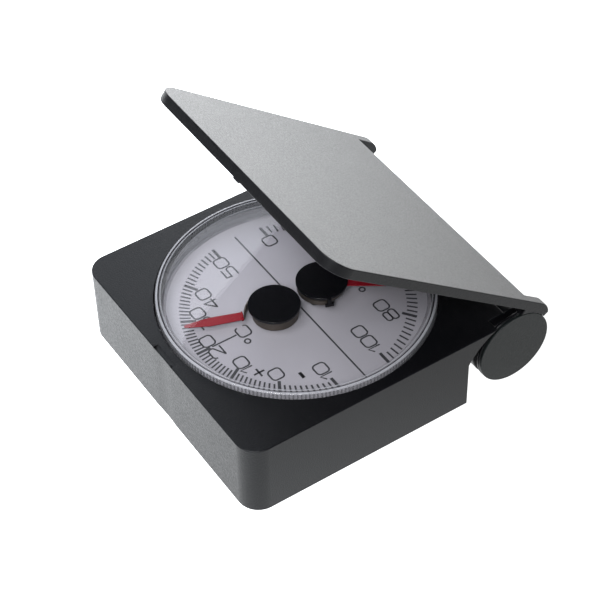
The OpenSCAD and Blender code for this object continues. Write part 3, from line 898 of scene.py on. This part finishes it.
class THERMOHYGRO_OT_inner_parts(Operator):
    """Finishes the parts that stay as the frame has them: cup, posts, bushes, washers, cup screws"""
    bl_idname = "thermohygro.inner_parts"
    bl_label = "Inner parts"

    def execute(self, context):
        grey = moulded_plastic("cup plastic", (0.16, 0.16, 0.17), 0.45, 0.2 * MM, 0.004 * MM)
        acetal = moulded_plastic("natural acetal", (0.40, 0.38, 0.34), 0.35, 0.25 * MM, 0.01 * MM)
        brass = metal("turned brass", (0.78, 0.58, 0.28), 0.25, 0.15 * MM, (1, 1, 4))
        spring = metal("tempered spring steel", (0.42, 0.42, 0.45), 0.3, 0.3 * MM, (4, 1, 1))
        zinc = metal("plated screw steel", (0.55, 0.55, 0.57), 0.32, 0.4 * MM, (1, 1, 0.2))
        finishes = {"instrument_cup": grey, "thermometer_post": brass, "hygrometer_post": brass,
                    "hinge_bush_left": acetal, "hinge_bush_right": acetal, "cup_screws": zinc,
                    "spring_washer_left": spring, "spring_washer_right": spring}
        for node, material in finishes.items():
            for slot in frame["nodes"][node].material_slots:
                slot.material = material
        return {"FINISHED"}


# ---- stage ----

# Each light: its name, place, target, width and height, power and tint
LIGHTS = (
    ("key light", (-0.35, 0.35, 0.55), (0, 0, 0.01), (0.30, 0.30), 6.5, (1, 1, 1)),
    ("overhead light", (0.08, 0.25, 0.6), (0, 0, 0.01), (0.35, 0.35), 2.7, (1, 1, 1)),
    ("sky light", (0.62, -0.20, 0.55), (0, 0, 0.01), (0.7, 0.7), 3.2, (0.88, 0.92, 1.0)),
    ("low back light", (0.19, -0.25, 0.08), (0, 0, 0.03), (0.5, 0.16), 1.4, (1, 1, 1)),
)


class THERMOHYGRO_OT_stage(Operator):
    """Sets the pale floor, the soft lights, the dim room and the camera"""
    bl_idname = "thermohygro.stage"
    bl_label = "Stage"

    def execute(self, context):
        look = context.scene.thermohygro.stage
        self.set_camera(context.scene, look)
        self.lay_floor(context.scene, look)
        self.hang_lights(context.scene)
        self.dim_room(context.scene)
        context.scene.view_settings.view_transform = "Standard"
        return {"FINISHED"}

    def set_camera(self, scene, look):
        target = Vector((4.681, -3.806, 8.4055)) * MM
        level = math.cos(look.elevation)
        back = Vector((math.sin(look.azimuth) * level, -math.cos(look.azimuth) * level,
                       math.sin(look.elevation)))
        right = Vector((0, 0, 1)).cross(back).normalized()
        up = back.cross(right)
        cosine, sine = math.cos(look.roll), math.sin(look.roll)
        right, up = right * cosine + up * sine, up * cosine - right * sine
        data = bpy.data.cameras.new("camera")
        data.lens, data.sensor_width, data.clip_start = look.focal, 36, 0.01
        camera = bpy.data.objects.new("camera", data)
        scene.collection.objects.link(camera)
        turn = Matrix((right, up, back)).transposed().to_4x4()
        camera.matrix_world = Matrix.Translation(target + back * look.distance) @ turn
        scene.camera = camera

    def lay_floor(self, scene, look):
        """A pale table that glows, brighter in front and most of all far behind."""
        half, level = look.floor_size / 2, -0.02 * MM
        near_glow, far_glow = (1.0, 1.0, 1.0), (3.3, 3.4, 3.5)
        mesh = bpy.data.meshes.new("floor")
        corners = [(x, y, level) for x, y in ((-half, -half), (half, -half), (half, half), (-half, half))]
        mesh.from_pydata(corners, [], [(0, 1, 2, 3)])
        finish = Finish("pale floor", {"Base Color": (0.06, 0.06, 0.06, 1), "Roughness": 0.9,
                                       "Emission Strength": 1.0})
        spot = finish.node("ShaderNodeSeparateXYZ", None, {"Vector": finish.place()})
        across = (spot / 0.12 + spot.also("Y") / 0.16 + 0.5).math("MAXIMUM", 0).math("MINIMUM", 1)
        beyond = (spot * 3 - spot.also("Y") * 4 - 0.8).math("MAXIMUM", 0).math("MINIMUM", 1)
        glow = (across * 0.8 + beyond * 0.5).math("MINIMUM", 1)
        finish.feed("Emission Color", finish.between(glow, near_glow, far_glow))
        mesh.materials.append(finish.material)
        floor = bpy.data.objects.new("floor", mesh)
        scene.collection.objects.link(floor)

    def hang_lights(self, scene):
        for light in LIGHTS:
            self.add_panel(scene, *light)

    def add_panel(self, scene, name, place, target, size, power, tint):
        data = bpy.data.lights.new(name, "AREA")
        data.shape, data.energy, data.color = "RECTANGLE", power, tint
        data.size, data.size_y = size
        panel = bpy.data.objects.new(name, data)
        scene.collection.objects.link(panel)
        panel.location = place
        panel.rotation_euler = (Vector(place) - Vector(target)).to_track_quat("Z", "Y").to_euler()

    def dim_room(self, scene):
        world = bpy.data.worlds.new("dim room")
        world.use_nodes = True
        background = world.node_tree.nodes["Background"]
        background.inputs["Color"].default_value = (0.9, 0.92, 1, 1)
        background.inputs["Strength"].default_value = 0.05
        scene.world = world


# ---- add-on ----

STEPS = (THERMOHYGRO_OT_stage, THERMOHYGRO_OT_case, THERMOHYGRO_OT_screws, THERMOHYGRO_OT_lid,
         THERMOHYGRO_OT_dish, THERMOHYGRO_OT_dial, THERMOHYGRO_OT_movements,
         THERMOHYGRO_OT_inner_parts)


class THERMOHYGRO_PT_panel(Panel):
    bl_label = "Thermo-Hygrometer"
    bl_idname = "THERMOHYGRO_PT_panel"
    bl_space_type = "VIEW_3D"
    bl_region_type = "UI"
    bl_category = "Thermo-Hygrometer"

    def draw(self, context):
        settings = context.scene.thermohygro
        for group in (settings.shell, settings.dish, settings.dial, settings.movement, settings.stage):
            box = self.layout.box()
            for name in group.__annotations__:
                box.prop(group, name)
        for step in STEPS:
            self.layout.operator(step.bl_idname)


CLASSES = (ShellSettings, DishSettings, DialSettings, MovementSettings, StageSettings,
           ThermoHygroSettings, *STEPS, THERMOHYGRO_PT_panel)


def register():
    for entry in CLASSES:
        bpy.utils.register_class(entry)
    bpy.types.Scene.thermohygro = PointerProperty(type=ThermoHygroSettings)


def unregister():
    del bpy.types.Scene.thermohygro
    for entry in reversed(CLASSES):
        bpy.utils.unregister_class(entry)


def main():
    register()
    for step in STEPS:
        category, name = step.bl_idname.split(".")
        getattr(getattr(bpy.ops, category), name)()


if __name__ == "__main__":
    main()
